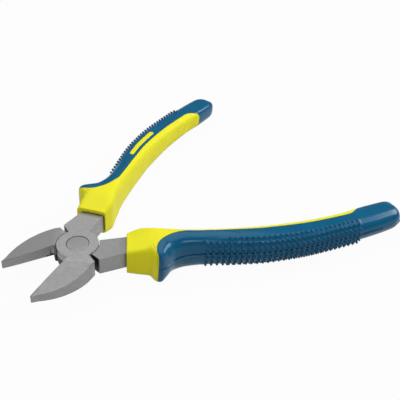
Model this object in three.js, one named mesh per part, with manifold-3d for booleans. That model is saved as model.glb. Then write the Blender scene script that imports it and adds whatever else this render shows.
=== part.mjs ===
// Side cutters: two lapped steel levers on one rivet, each with a two-part moulded grip
// Plan coordinates are those of the closed tool: jaws towards -X, handles towards +X
import * as THREE from 'three';
import { mergeVertices } from 'three/addons/utils/BufferGeometryUtils.js';
import Module from 'manifold-3d';

const wasm = await Module();
wasm.setup();

// Head, millimetres and degrees
const headThickness = 7.9;
const halfOpening = 21.9;
const runningGap = 0.3;
const lapRadius = 8.7;
const lapSides = 48;

// Rivet
const rivetHeadRadius = 4.5;
const rivetShankRadius = 3.3;
const rivetHeadEdge = 0.7;
const rivetSinkDepth = 1.2;
const rivetRecess = 0.1;
const rivetSides = 32;

// Jaws, measured from the pivot along the cutting edge and square to it
const jawLength = 30.6;
const jawWidth = 12.1;
const jawTipWidth = 0.9;
const jawArcRadius = 25.2;
const jawArcStart = 9;
const jawBackAngle = 66.5;
const jawStations = 14;
const edgeGap = 0.1;
const edgeRootHeight = 0.4;
const edgeTipHeight = -2.7;
const bevelRootWidth = 1.7;
const bevelTipWidth = 0.5;
const underBevelRootWidth = 5.4;
const underBevelTipWidth = 0.7;
const gulletCentre = 10.5;
const gulletRadius = 1.1;
const rootReach = 9.7;
const rootWidth = 6;
const ridgeInnerReach = 10.2;
const ridgeTilt = 12;
const topFacetSlope = 10;
const underFacetStart = 10;
const underFacetSlope = 3.2;

// Necks and tangs of the levers
const closedGapHalf = 0.4;
const neckFrontAngle = 61.5;
const neckOuterReach = 12.1;
const neckMouthInner = 1.25;
const neckMouthOuter = 11.1;
const neckEnd = 23;
const tangEnd = 122;
const tangRootHalfWidth = 4.3;
const tangHalfWidth = 2.3;
const tangTaperEnd = 42;
const tangHalfThickness = 2.9;
const tangOverlap = 1.5;
const tangRings = 16;

// Grip: sides and half depth along the handle, each pair is a station and a value
const collarFront = 19.3;
const collarRake = 14;
const collarOverrun = 3;
const guardStart = 26;
const waist = 42;
const gripEnd = 151;
const innerSide = profile([
  [15, closedGapHalf], [25, closedGapHalf], [34, 3], [42, 5.2], [52, 7.2], [65, 9.2],
  [80, 11], [98, 11.6], [120, 10.4], [134, 8.1], [151, 6.5],
]);
const outerSide = profile([
  [15, 12.2], [19, 13.2], [24, 15], [27, 16.2], [28, 18.8], [29, 20.7], [30.5, 21.4], [33, 20.2], [38, 16.8],
  [42.5, 15.9], [52, 17.3], [65, 20.6], [80, 23.6], [98, 24.9], [120, 23.9], [134, 22.7], [151, 20],
]);
const halfDepth = profile([
  [15, 5.4], [19.3, 6.1], [29, 8.5], [33, 9], [38, 9], [52, 8.3],
  [80, 7.6], [110, 6.5], [134, 5.9], [151, 5.7],
]);

// Grip section: squarish at the collar, rounder along the handle, drawn in at the end
const boxyEnd = 22;
const innerRoundStart = 44;
const outerRoundStart = 36;
const boxyPower = 9;
const innerPower = 3.2;
const outerPower = 2.4;
const endRounding = 8;
const endFlat = 0.4;
const endPower = 2.6;
const gripSides = 24;
const coreSides = 16;
const collarRings = 4;
const gripRings = { guard: 12, handle: 16, end: 6 };
const coreRings = { guard: 10, handle: 13, end: 5 };

// Outer sleeve of the grip over its core
const sleeveWall = 2;
const sleeveShare = 0.29;
const sleeveFront = 29;
const sleeveFrontTop = 18.5;
const sleeveBendEnd = 45;
const sleeveBendRise = 4;
const sleeveBendRun = 6;
const sleeveBlendEnd = 124;
const sleeveCap = 132.4;
const sleeveCapDrop = 1.2;
const sleeveCapMargin = 1;
const sleeveEdgePoints = 14;
const sleeveCurveSteps = 8;
const coreStart = 25;

// Knobs on the outer side of the sleeve, in rows on both sides of its middle line
const knobFirst = 51.6;
const knobPitch = 2.5;
const knobCount = 30;
const knobRowFirst = 1.55;
const knobRowPitch = 2.15;
const knobRowCount = 4;
const knobHeight = 1.35;
const knobPanelRise = 0.12;
const knobPanelRoot = 1;
const knobLateStart = 4;
const knobWalkSteps = 60;

// Window in the sleeve and the core pad that fills it
const windowStart = 66;
const windowEnd = 93;
const windowWidth = 2.6;
const windowShare = 0.52;
const windowPoints = 6;

// Fits, and a length that reaches past every piece it cuts
const fitGap = 0.3;
const mouthGap = 0.45;
const far = 60;
const headHalf = headThickness / 2;
const rivetHalf = headHalf - rivetRecess;
const lapFace = runningGap / 2;

const steel = new THREE.MeshStandardMaterial({ color: '#a3a4a6', roughness: 0.42, metalness: 1 });
const rivetSteel = new THREE.MeshStandardMaterial({ color: '#9b9c9e', roughness: 0.34, metalness: 1 });
const corePlastic = new THREE.MeshStandardMaterial({ color: '#e6e21c', roughness: 0.5, metalness: 0 });
const sleeveRubber = new THREE.MeshStandardMaterial({ color: '#1f5c86', roughness: 0.45, metalness: 0 });

// A smooth curve through stations that never overshoots them
function profile(stations) {
  const slope = stations.slice(1).map(([x, y], i) => (y - stations[i][1]) / (x - stations[i][0]));
  const tangent = stations.map((_, i) => {
    const before = slope[Math.max(i - 1, 0)];
    const after = slope[Math.min(i, slope.length - 1)];
    return before * after <= 0 ? 0 : 2 * before * after / (before + after);
  });
  return (x) => {
    const place = stations.findIndex(([end]) => x < end);
    const i = place < 0 ? slope.length - 1 : Math.max(place - 1, 0);
    const span = stations[i + 1][0] - stations[i][0];
    const t = THREE.MathUtils.clamp((x - stations[i][0]) / span, 0, 1);
    const held = (1 + 2 * t) * (1 - t) ** 2 * stations[i][1] + t * t * (3 - 2 * t) * stations[i + 1][1];
    return held + span * t * (1 - t) * ((1 - t) * tangent[i] - t * tangent[i + 1]);
  };
}

function radians(angle) {
  return THREE.MathUtils.degToRad(angle);
}

function polar(radius, angle) {
  return new THREE.Vector2(radius * Math.cos(radians(angle)), radius * Math.sin(radians(angle)));
}

// Evenly spaced stations, both ends included
function stationsBetween(start, end, count) {
  return Array.from({ length: count }, (_, i) => start + (end - start) * i / (count - 1));
}

// Turns a geometry into a solid that can be joined and cut
function toSolid(geometry) {
  const plain = geometry.clone();
  plain.deleteAttribute('normal');
  plain.deleteAttribute('uv');
  const merged = mergeVertices(plain);
  return new wasm.Manifold(new wasm.Mesh({
    numProp: 3,
    vertProperties: merged.attributes.position.array,
    triVerts: Uint32Array.from(merged.index.array),
  }));
}

function toMesh(name, solid, material) {
  const { vertProperties, triVerts } = solid.getMesh();
  const geometry = new THREE.BufferGeometry();
  geometry.setAttribute('position', new THREE.BufferAttribute(vertProperties, 3));
  geometry.setIndex(new THREE.BufferAttribute(triVerts, 1));
  const mesh = new THREE.Mesh(geometry, material);
  mesh.name = name;
  return mesh;
}

// A solid from points and the triangles that close round it, turned to face outwards
function closedSkin(points, triangles) {
  const volume = triangles.reduce((sum, [a, b, c]) => (
    sum + points[a].dot(new THREE.Vector3().crossVectors(points[b], points[c]))), 0);
  const index = triangles.flatMap(([a, b, c]) => (volume > 0 ? [a, b, c] : [a, c, b]));
  const geometry = new THREE.BufferGeometry().setFromPoints(points);
  geometry.setIndex(index);
  return toSolid(geometry);
}

// A closed skin over convex rings with equal point counts, mirrored in Y where hand is -1
function loft(rings, hand = 1) {
  const sides = rings[0].length;
  const last = (rings.length - 1) * sides;
  const triangles = [];
  for (let ring = 0; ring < last; ring += sides) {
    for (let i = 0; i < sides; i += 1) {
      const next = (i + 1) % sides;
      triangles.push([ring + i, ring + next, ring + sides + next]);
      triangles.push([ring + i, ring + sides + next, ring + sides + i]);
    }
  }
  for (let i = 1; i < sides - 1; i += 1) {
    triangles.push([0, i + 1, i]);
    triangles.push([last, last + i, last + i + 1]);
  }
  const points = rings.flat().map((point) => new THREE.Vector3(point.x, point.y * hand, point.z));
  return closedSkin(points, triangles);
}

function extrude(points, bottom, top, hand = 1) {
  const shape = new THREE.Shape(points.map((point) => new THREE.Vector2(point.x, point.y * hand)));
  const geometry = new THREE.ExtrudeGeometry(shape, { depth: top - bottom, bevelEnabled: false });
  return toSolid(geometry.translate(0, 0, bottom));
}

function disc(radius, bottom, top, sides, centre = new THREE.Vector2()) {
  const geometry = new THREE.CylinderGeometry(radius, radius, top - bottom, sides);
  geometry.rotateX(Math.PI / 2);
  return toSolid(geometry.translate(centre.x, centre.y, (bottom + top) / 2));
}

function turned(profilePoints, sides) {
  const points = profilePoints.map(([radius, height]) => new THREE.Vector2(radius, height));
  return toSolid(new THREE.LatheGeometry(points, sides).rotateX(Math.PI / 2));
}

// All the space on the side of a plane that its normal points to
function beyond(point, normal) {
  const geometry = new THREE.BoxGeometry(4 * far, 4 * far, far).translate(0, 0, far / 2);
  const turn = new THREE.Quaternion().setFromUnitVectors(new THREE.Vector3(0, 0, 1), normal.normalize());
  geometry.applyQuaternion(turn);
  return toSolid(geometry.translate(point.x, point.y, point.z));
}

// Countersunk rivet profile, grown by a clearance, with its ends at a given height
function rivetProfile(gap, end) {
  const rim = rivetHalf - rivetHeadEdge;
  const neck = rim - rivetSinkDepth;
  const head = rivetHeadRadius + gap;
  const shank = rivetShankRadius + gap;
  const upper = [[shank, neck], [head, rim], [head, end], [0, end]];
  const lower = upper.map(([radius, height]) => [radius, -height]).reverse();
  return [...lower, ...upper];
}

// Distance of the jaw's rounded outer side from the closing line, never less than the blunt tip
function jawOuterReach(reach) {
  const past = THREE.MathUtils.clamp(reach - jawArcStart, 0, jawArcRadius);
  const arc = jawWidth - jawArcRadius + Math.sqrt(jawArcRadius ** 2 - past ** 2);
  return Math.max(arc, edgeGap + jawTipWidth);
}

// One jaw: a lofted wedge with its ground bevels, root block, top and under facets and gullet
function jawSolid(hand) {
  const root = jawArcStart - jawWidth / Math.tan(radians(jawBackAngle));
  const stations = [0, ...stationsBetween(jawArcStart, jawLength, jawStations)];
  const blend = (reach, rootValue, tipValue) => (
    rootValue + (tipValue - rootValue) * (reach - root) / (jawLength - root));
  const rings = stations.map((reach) => {
    const outer = jawOuterReach(reach);
    const section = [
      [edgeGap, blend(reach, edgeRootHeight, edgeTipHeight)],
      [edgeGap + blend(reach, bevelRootWidth, bevelTipWidth), headHalf],
      [outer, headHalf],
      [outer, -headHalf],
      [edgeGap + blend(reach, underBevelRootWidth, underBevelTipWidth), -headHalf],
    ];
    return section.map(([out, height]) => new THREE.Vector3(-reach, out, height));
  });
  const ridge = new THREE.Vector3(-ridgeInnerReach, 0, headHalf);
  const ridgeNormal = new THREE.Vector3(-Math.cos(radians(ridgeTilt)), Math.sin(radians(ridgeTilt)), 0);
  const topNormal = ridgeNormal.multiplyScalar(Math.tan(radians(topFacetSlope))).setZ(1);
  const underNormal = new THREE.Vector3(-Math.tan(radians(underFacetSlope)), 0, -1);
  const backNormal = new THREE.Vector3(Math.sin(radians(jawBackAngle)), Math.cos(radians(jawBackAngle)), 0);
  const mirror = (vector) => vector.setY(vector.y * hand);
  const gulletPlace = new THREE.Vector2(-gulletCentre, 0);
  const rootPlan = [[0, edgeGap], [0, rootWidth], [-rootReach, rootWidth], [-rootReach, edgeGap]]
    .map(([x, y]) => new THREE.Vector2(x, y));
  return loft(rings, hand)
    .add(extrude(rootPlan, -headHalf, edgeRootHeight, hand))
    .subtract(beyond(ridge, mirror(topNormal)))
    .subtract(beyond(new THREE.Vector3(-underFacetStart, 0, -headHalf), underNormal))
    .subtract(beyond(new THREE.Vector3(), mirror(backNormal)))
    .subtract(disc(gulletRadius, -far, far, lapSides / 2, gulletPlace));
}

// Neck outline in plan, grown by a gap where it passes into the collar
function neckOutline(gap) {
  const front = polar(lapRadius / 2, neckFrontAngle);
  const corner = polar(neckOuterReach / Math.sin(radians(neckFrontAngle)), neckFrontAngle);
  return [
    new THREE.Vector2(front.x, closedGapHalf - gap),
    new THREE.Vector2(lapRadius, closedGapHalf - gap),
    new THREE.Vector2(collarFront, neckMouthInner - gap),
    new THREE.Vector2(neckEnd + gap, neckMouthInner - gap),
    new THREE.Vector2(neckEnd + gap, neckMouthOuter + gap),
    new THREE.Vector2(collarFront, neckMouthOuter + gap),
    new THREE.Vector2(corner.x, corner.y + gap),
    front,
  ];
}

// The tang follows the middle of the core from the neck to near the grip's end
function tangMiddle(x) {
  const neckMiddle = (neckMouthInner + neckMouthOuter) / 2;
  const coreMiddle = (innerSide(x) + outerSide(x) - sleeveWall - fitGap) / 2;
  return THREE.MathUtils.lerp(neckMiddle, coreMiddle, THREE.MathUtils.smoothstep(x, neckEnd, tangTaperEnd));
}

function tangSolid(gap, hand) {
  const start = neckEnd + tangOverlap;
  const stations = [neckEnd - tangOverlap, ...stationsBetween(start, tangEnd + gap, tangRings)];
  const rings = stations.map((x) => {
    const taper = THREE.MathUtils.smoothstep(x, neckEnd, tangTaperEnd);
    const half = THREE.MathUtils.lerp(tangRootHalfWidth, tangHalfWidth, taper) + gap;
    const height = tangHalfThickness + gap;
    const middle = tangMiddle(x);
    return [[-half, -height], [half, -height], [half, height], [-half, height]]
      .map(([across, up]) => new THREE.Vector3(x, middle + across, up));
  });
  return loft(rings, hand);
}

// One forged lever: hand is the side of its handle, layer the half of the lap that it has
function leverSolid(hand, layer) {
  const lapBottom = layer > 0 ? lapFace : -headHalf;
  const lap = disc(lapRadius, lapBottom, lapBottom + headHalf - lapFace, lapSides);
  const sweepBottom = layer > 0 ? -far : -lapFace;
  const sweep = disc(lapRadius + runningGap, sweepBottom, sweepBottom + far + lapFace, lapSides);
  const neck = extrude(neckOutline(0), -headHalf, headHalf, hand);
  const hole = turned(rivetProfile(runningGap, headHalf + far), rivetSides);
  return neck.add(jawSolid(-hand)).add(tangSolid(0, hand)).subtract(sweep).add(lap).subtract(hole);
}

// Point of the grip's rounded section at a station, drawn in by an inset, at a turn from the outer side
function gripPoint(x, inset, turn) {
  const past = THREE.MathUtils.clamp((x - gripEnd + inset) / endRounding + 1, 0, 1);
  const shrink = THREE.MathUtils.lerp(endFlat, 1, (1 - past ** endPower) ** (1 / endPower));
  const inner = innerSide(x) + inset;
  const outer = outerSide(x) - inset;
  const half = (outer - inner) / 2 * shrink;
  const height = (halfDepth(x) - inset) * shrink;
  const towardsInner = Math.cos(turn) < 0;
  const roundStart = towardsInner ? innerRoundStart : outerRoundStart;
  const roundPower = towardsInner ? innerPower : outerPower;
  const roundness = THREE.MathUtils.smoothstep(x, boxyEnd, roundStart);
  const power = THREE.MathUtils.lerp(boxyPower, roundPower, roundness);
  const swell = (value) => Math.sign(value) * Math.abs(value) ** (2 / power);
  const middle = (inner + outer) / 2;
  return new THREE.Vector3(x, middle + half * swell(Math.cos(turn)), height * swell(Math.sin(turn)));
}

function gripRing(x, inset, sides) {
  return Array.from({ length: sides }, (_, i) => gripPoint(x, inset, 2 * Math.PI * (i + 0.5) / sides));
}

// Stations of a grip skin that ends at a given place, closer at the guard and the rounded end
function gripStations(end, rings) {
  const roundingStart = end - endRounding;
  const turns = stationsBetween(0, 90, rings.end).slice(1);
  return [
    ...stationsBetween(guardStart, waist, rings.guard),
    ...stationsBetween(waist, roundingStart, rings.handle).slice(1),
    ...turns.map((turn) => roundingStart + endRounding * Math.sin(radians(turn))),
  ];
}

// The whole outside of a grip, with its raked collar front
function gripBody() {
  const collar = stationsBetween(collarFront - collarOverrun, guardStart, collarRings);
  const stations = [...collar, ...gripStations(gripEnd, gripRings).slice(1)];
  const rake = new THREE.Vector3(-Math.cos(radians(collarRake)), -Math.sin(radians(collarRake)), 0);
  const frontMiddle = (neckMouthInner + neckMouthOuter) / 2;
  return loft(stations.map((x) => gripRing(x, 0, gripSides)))
    .subtract(beyond(new THREE.Vector3(collarFront, frontMiddle, 0), rake));
}

// The part of the core that lies under the sleeve
function gripInner(inset) {
  const stations = [coreStart, ...gripStations(gripEnd - inset, coreRings)];
  return loft(stations.map((x) => gripRing(x, inset, coreSides)));
}

function sleeveEdge(x) {
  return THREE.MathUtils.lerp(innerSide(x), outerSide(x), sleeveShare);
}

// Plan area of the sleeve, grown by a gap
function sleeveArea(grow) {
  const front = sleeveFront - grow;
  const bendEnd = new THREE.Vector2(sleeveBendEnd, sleeveEdge(sleeveBendEnd) - grow);
  const blendEnd = new THREE.Vector2(sleeveBlendEnd, sleeveEdge(sleeveBlendEnd) - grow);
  const cap = sleeveCap - grow;
  const rise = bendEnd.y + sleeveBendRise;
  const shape = new THREE.Shape();
  shape.moveTo(front, far);
  shape.lineTo(front, sleeveFrontTop);
  shape.bezierCurveTo(front, rise, front + sleeveBendRun, bendEnd.y, bendEnd.x, bendEnd.y);
  stationsBetween(sleeveBendEnd, sleeveBlendEnd, sleeveEdgePoints).slice(1)
    .forEach((x) => shape.lineTo(x, sleeveEdge(x) - grow));
  shape.quadraticCurveTo(cap, blendEnd.y - sleeveCapDrop, cap, innerSide(cap) + sleeveCapMargin);
  shape.lineTo(cap, -far);
  shape.lineTo(gripEnd + far, -far);
  shape.lineTo(gripEnd + far, far);
  const options = { depth: 2 * far, bevelEnabled: false, curveSegments: sleeveCurveSteps };
  const geometry = new THREE.ExtrudeGeometry(shape, options);
  return toSolid(geometry.translate(0, 0, -far));
}

// Long lozenge over the top of the sleeve, grown by a gap
function windowArea(grow) {
  const half = windowWidth / 2 + grow;
  const middle = (x) => THREE.MathUtils.lerp(innerSide(x), outerSide(x), windowShare);
  const lead = windowWidth / 2;
  const stations = stationsBetween(windowStart + lead, windowEnd - lead, windowPoints);
  const near = stations.map((x) => new THREE.Vector2(x, middle(x) - half));
  const away = stations.map((x) => new THREE.Vector2(x, middle(x) + half)).reverse();
  const startTip = new THREE.Vector2(windowStart - grow, middle(windowStart));
  const endTip = new THREE.Vector2(windowEnd + grow, middle(windowEnd));
  return extrude([startTip, ...near, endTip, ...away], 0, far);
}

function coreSolid() {
  const mouth = extrude(neckOutline(mouthGap), -headHalf - mouthGap, headHalf + mouthGap);
  const body = gripBody();
  return body.subtract(sleeveArea(fitGap))
    .add(gripInner(sleeveWall + fitGap))
    .add(body.intersect(windowArea(-fitGap)))
    .subtract(mouth)
    .subtract(tangSolid(fitGap, 1));
}

// Point a given way round from the middle of the grip's outer side, lifted by a rise
function knobPoint(x, way, rise) {
  const walk = stationsBetween(0, Math.PI / 2, knobWalkSteps).map((turn) => gripPoint(x, 0, turn));
  let left = Math.abs(way);
  let step = 0;
  while (step < walk.length - 2 && left > walk[step].distanceTo(walk[step + 1])) {
    left -= walk[step].distanceTo(walk[step + 1]);
    step += 1;
  }
  const along = walk[step + 1].clone().sub(walk[step]).normalize();
  const point = walk[step].clone().addScaledVector(along, left);
  const side = way < 0 ? -1 : 1;
  return new THREE.Vector3(x, point.y + along.z * rise, (point.z - along.y * rise) * side);
}

// Four-sided knobs on a thin panel that is sunk into the sleeve, corner to corner in straight rows
function knobPanel() {
  const upper = Array.from({ length: knobRowCount }, (_, row) => knobRowFirst + knobRowPitch * row);
  const rows = [...upper.map((way) => -way).reverse(), ...upper];
  const margin = knobRowPitch / 2;
  const between = rows.slice(1).map((way, i) => (way + rows[i]) / 2);
  const lines = [rows[0] - margin, ...between, rows[rows.length - 1] + margin];
  const last = rows.length - 1;
  const points = [];
  const place = (x, way, rise) => points.push(knobPoint(x, way, rise)) - 1;
  const middles = Array.from({ length: knobCount }, (_, i) => knobFirst + knobPitch * i);
  const corners = [...middles.map((x) => x - knobPitch / 2), middles[knobCount - 1] + knobPitch / 2];
  const skin = (rise, height) => ({
    ends: rows.map((way) => corners.map((x) => place(x, way, rise))),
    sides: lines.map((way) => middles.map((x) => place(x, way, rise))),
    tips: rows.map((way, row) => middles.map((x, i) => {
      const late = (row === 0 || row === last) && i < knobLateStart;
      return place(x, way, late ? rise : rise + height);
    })),
  });
  const triangles = [];
  const cover = ({ ends, sides, tips }, flip) => {
    const add = (a, b, c) => triangles.push(flip ? [a, c, b] : [a, b, c]);
    for (let row = 0; row <= last; row += 1) {
      for (let i = 0; i < knobCount; i += 1) {
        const rim = [ends[row][i], sides[row][i], ends[row][i + 1], sides[row + 1][i]];
        rim.forEach((corner, k) => add(tips[row][i], corner, rim[(k + 1) % rim.length]));
      }
    }
    for (let i = 0; i < knobCount - 1; i += 1) {
      add(sides[0][i], sides[0][i + 1], ends[0][i + 1]);
      add(sides[last + 1][i], ends[last][i + 1], sides[last + 1][i + 1]);
    }
    for (let row = 1; row <= last; row += 1) {
      add(ends[row - 1][0], sides[row][0], ends[row][0]);
      add(ends[row - 1][knobCount], ends[row][knobCount], sides[row][knobCount - 1]);
      for (let i = 0; i < knobCount - 1; i += 1) {
        add(sides[row][i], ends[row - 1][i + 1], sides[row][i + 1]);
        add(sides[row][i], sides[row][i + 1], ends[row][i + 1]);
      }
    }
    return [
      ...sides[0],
      ...ends.map((row) => row[knobCount]),
      ...[...sides[last + 1]].reverse(),
      ...ends.map((row) => row[0]).reverse(),
    ];
  };
  const top = cover(skin(knobPanelRise, knobHeight), false);
  const under = cover(skin(-knobPanelRoot, 0), true);
  top.forEach((corner, i) => {
    const next = (i + 1) % top.length;
    triangles.push([corner, under[i], under[next]], [corner, under[next], top[next]]);
  });
  return closedSkin(points, triangles);
}

function sleeveSolid() {
  return gripBody().intersect(sleeveArea(0))
    .add(knobPanel())
    .subtract(gripInner(sleeveWall))
    .subtract(windowArea(0));
}

// Assembly: the levers turn about the rivet, and the two grips are the same part turned over
const core = coreSolid();
const sleeve = sleeveSolid();

function arm(side, hand) {
  const group = new THREE.Group();
  const coreMesh = toMesh(`${side}_grip_core`, core, corePlastic);
  const sleeveMesh = toMesh(`${side}_grip_sleeve`, sleeve, sleeveRubber);
  const grip = new THREE.Group();
  grip.add(coreMesh, sleeveMesh);
  grip.rotation.x = hand > 0 ? 0 : Math.PI;
  group.add(toMesh(`${side}_lever`, leverSolid(hand, hand), steel), grip);
  group.rotation.z = radians(halfOpening) * hand;
  return group;
}

const cutters = new THREE.Group();
cutters.add(arm('right', 1), arm('left', -1));
cutters.add(toMesh('pivot_rivet', turned(rivetProfile(0, rivetHalf), rivetSides), rivetSteel));
cutters.position.z = rivetHalf;

export default cutters;
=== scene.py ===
"""Side cutters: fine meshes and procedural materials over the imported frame."""
import math

import bmesh
import bpy
import numpy as np
from mathutils import Matrix, Vector


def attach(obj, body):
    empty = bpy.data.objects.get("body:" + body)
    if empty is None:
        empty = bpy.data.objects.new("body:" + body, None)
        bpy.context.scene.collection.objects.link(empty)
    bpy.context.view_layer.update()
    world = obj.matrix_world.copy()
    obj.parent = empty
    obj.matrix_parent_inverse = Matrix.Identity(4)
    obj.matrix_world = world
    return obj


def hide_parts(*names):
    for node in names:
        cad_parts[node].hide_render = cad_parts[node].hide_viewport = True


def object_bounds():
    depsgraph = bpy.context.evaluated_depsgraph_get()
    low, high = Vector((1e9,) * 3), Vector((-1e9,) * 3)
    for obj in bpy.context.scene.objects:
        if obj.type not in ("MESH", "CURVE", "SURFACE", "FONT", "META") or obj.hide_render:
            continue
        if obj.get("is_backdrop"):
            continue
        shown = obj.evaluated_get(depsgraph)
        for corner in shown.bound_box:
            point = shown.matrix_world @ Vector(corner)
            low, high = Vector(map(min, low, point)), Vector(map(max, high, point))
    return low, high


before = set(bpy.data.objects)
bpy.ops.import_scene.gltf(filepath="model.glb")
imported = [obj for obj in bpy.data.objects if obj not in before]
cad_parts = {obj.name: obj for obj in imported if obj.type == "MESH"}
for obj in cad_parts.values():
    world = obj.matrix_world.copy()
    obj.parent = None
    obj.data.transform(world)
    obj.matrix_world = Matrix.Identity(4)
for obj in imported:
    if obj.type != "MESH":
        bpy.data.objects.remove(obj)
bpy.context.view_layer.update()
scene = bpy.context.scene

MM = 0.001
TINY = 1e-6
NEAR_ZERO = 1e-12

# Grip in the plan of the closed tool, millimetres and degrees, nearly all as in the solids
HALF_OPENING = 21.9
MIDDLE_HEIGHT = 3.85
CLOSED_GAP = 0.4
COLLAR_FRONT = 19.3
COLLAR_RAKE = 14.0
COLLAR_BLEND_END = 26.0
MOUTH_CENTRE = 6.175
MOUTH_HALF_WIDTH = 5.37
MOUTH_HALF_HEIGHT = 4.4
GRIP_START = 15.0
GRIP_END = 151.0
BOXY_END = 22.0
INNER_ROUND_START = 44.0
OUTER_ROUND_START = 36.0
BOXY_POWER = 9.0
INNER_POWER = 3.2
OUTER_POWER = 2.4
SLEEVE_FRONT = 29.0
SLEEVE_FRONT_TOP = 18.5
SLEEVE_FRONT_PULL = 6.0
SLEEVE_FRONT_RISE = 4.0
SLEEVE_BEND_END = 45.0
SLEEVE_SHARE = 0.29
SLEEVE_BLEND_END = 124.0
SLEEVE_CAP = 132.4
WINDOW = (66.0, 93.0)
WINDOW_SHARE = 0.52

# End cap, panel end, window width, walls and mouth as they are shaped for the look
END_ROUNDING = 7.0
END_FLAT = 0.56
END_POWER = 2.6
CAP_SCALES = (0.7, 0.4, 0.15)
CAP_BULGE = 0.12
PANEL_END_POWER = 1.5
WINDOW_END_RADIUS = 1.6
WINDOW_HALF_SHARE = 0.115
WINDOW_LEAST_SHARE = 0.006
WINDOW_FADE = 5.0
WINDOW_DEPTH = 1.1
SLEEVE_SHARE_MOST = 0.98
SLEEVE_DEPTH = 1.5
CORE_DEPTH = 1.55
CORE_GAP = 0.12
MOUTH_DEPTH = 6.0
MOUTH_CORNER_POWER = 0.22
MOUTH_FLARE = 1.02
MOUTH_ROLL = (0.3, 0.06)
COLLAR_FACE_SHARES = (0.15, 0.5)

# Rounded edges, as pairs of the distance from the edge and the offset from the smooth body
SLEEVE_ROLL = ((0.0, -SLEEVE_DEPTH), (0.0, -0.4), (0.03, -0.16), (0.1, -0.05), (0.28, 0.0))
WINDOW_ROLL = ((0.16, 0.0), (0.05, -0.03), (0.01, -0.12), (0.0, -WINDOW_DEPTH))
CORE_ROLL = ((0.0, -CORE_DEPTH), (0.0, -0.35), (0.03, -0.14), (0.1, -0.04), (0.28, 0.0))
FLANGE_ROLL = ((0.1, -0.04), (0.02, -0.15), (0.0, -CORE_DEPTH))
PAD_ROLL = ((0.0, -CORE_DEPTH), (0.0, -0.18), (0.06, -0.08), (0.2, -0.04))
PAD_FLAT = 0.3
PAD_TOP = -0.03

# Rounded front of the collar, as pairs of the amount drawn in and the distance behind the front
COLLAR_ROLL = ((0.5, 0.0), (0.18, 0.1), (0.04, 0.28))

# Knobs on the outer side of the sleeve
KNOB_PITCH = 2.5
KNOB_FIRST = 51.6
KNOB_LAST = 124.4
KNOB_SHARE = 0.7
KNOB_ROW_HEIGHT = (1.4, 1.35, 1.05, 0.8)
KNOB_BASE = 0.7
KNOB_TIP = 0.4
KNOB_ROW_FIRST = 1.55
KNOB_ROW_STEP = 2.15
KNOB_ROW_DELAY = (0, 0, 0, 4)
KNOB_LOWEST_ROLL = -0.3

# Thin panel under the knobs, whose upper edge slants over its front stretch
PANEL_RISE = 0.1
PANEL_MARGIN = 1.35
PANEL_FRONT = (1.5, 1.25)
PANEL_REAR = (1.2, 1.6)
PANEL_SLANT = 1.6
PANEL_SLANT_RUN = (50, 74)
PANEL_EDGE = 0.25

# Moulding ledge on the middle line, with a groove beside it on one side
RIDGE_HEIGHT = 0.4
RIDGE_HALF = 0.42
RIDGE_POWER = 0.7
RIDGE_EASE = 5.0
RIDGE_GROOVE = 0.6
GROOVE_PLACE = 1.7 * RIDGE_HALF
GROOVE_HALF = 0.8 * RIDGE_HALF
RIDGE_CLEAR = (2.4 * RIDGE_HALF, 3 * RIDGE_HALF)

# Levers and rivet
LEVER_FLAT_ANGLE = 0.6
LEVER_ROUNDING = 0.28
LEVER_EDGE_ANGLE = 22
JAW_TIP_REACH = 1.2
JAW_TIP_ROUNDING = 0.5
JAW_TIP_UPRIGHT = 0.8
RIVET_SIDES = 96
RIVET_SHANK = 3.25
RIVET_HEAD = 4.62
RIVET_SINK = 1.9
RIVET_HEAD_EDGE = 0.7
RIVET_RIM = ((4.62, -0.14), (4.58, -0.04), (4.48, 0.0))
RIVET_DOME = ((4.1, 0.05), (3.0, 0.09), (1.6, 0.11), (0.6, 0.12))

# Finishes: the ground faces of the steel end at a straight edge, and the recess walls carry painted shade, a
# near-black colour
GROUND_EDGE_ANGLE = 40.3
GROUND_EDGE_PLACE = -10.9
GROUND_EDGE_WIDTH = 0.6
LAP_RADIUS = 8.8
OTHER_LEVER_PRODUCT = -15.0
RECESS_RADIUS = 13.2
RECESS_SHOULDER = (1.0, 7.5)
RECESS_ROOT = (-3.0, 3.8)
RECESS_UPRIGHT = 0.5
# Painted shade: near-black colour that stands in for the shadow in the recess beside the lap
RECESS_SHADE_COLOUR = (0.03, 0.03, 0.032, 1)
BLASTED_ALL_OVER = -100.0
GROUND_STOPS = (0.3, 0.7)
BLASTED_STOPS = (0.34, 0.45, 0.66)
PLASTIC_STOPS = (0.25, 0.75)
STEEL_METALLIC = 0.75
STEEL_ROUGHNESS = ((0.3, 0.48), (0.7, 0.6))
PIT_DEPTH = 0.08
GROUND_PIT_SHARE = 0.15
PLASTIC_GRAIN_DEPTH = 0.06

# Meshes: runs of stations along the grip, as the first, the last and how many
SLEEVE_RUNS = ((29.6, 49.6, 44), (49.8, 126.4, 307), (127, 131, 9))
SLEEVE_REAR_RUN = (133, GRIP_END - END_ROUNDING, 14)
COLLAR_RUN = (COLLAR_FRONT + 0.5, 28.3, 26)
COLLAR_LAST = 28.55
CORE_FRONT_RUNS = ((29.3, 48, 38), (49, 65.5, 18))
CORE_WINDOW_RUNS = ((WINDOW[0], 69, 10), (70, 90, 21), (91, WINDOW[1], 8))
CORE_BACK_RUNS = ((94, 123, 30),)
CORE_REAR_RUN = (133, 140, 4)

# Meshes: turns whose sines bring stations closer towards an end, as the first, the last and how many
SLEEVE_BLEND_TURNS = (1.0, math.pi / 2, 12)
SLEEVE_END_TURNS = (0.08, math.pi / 2 - 0.001, 22)
CORE_BLEND_TURNS = (0.1, math.pi / 2, 22)

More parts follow.
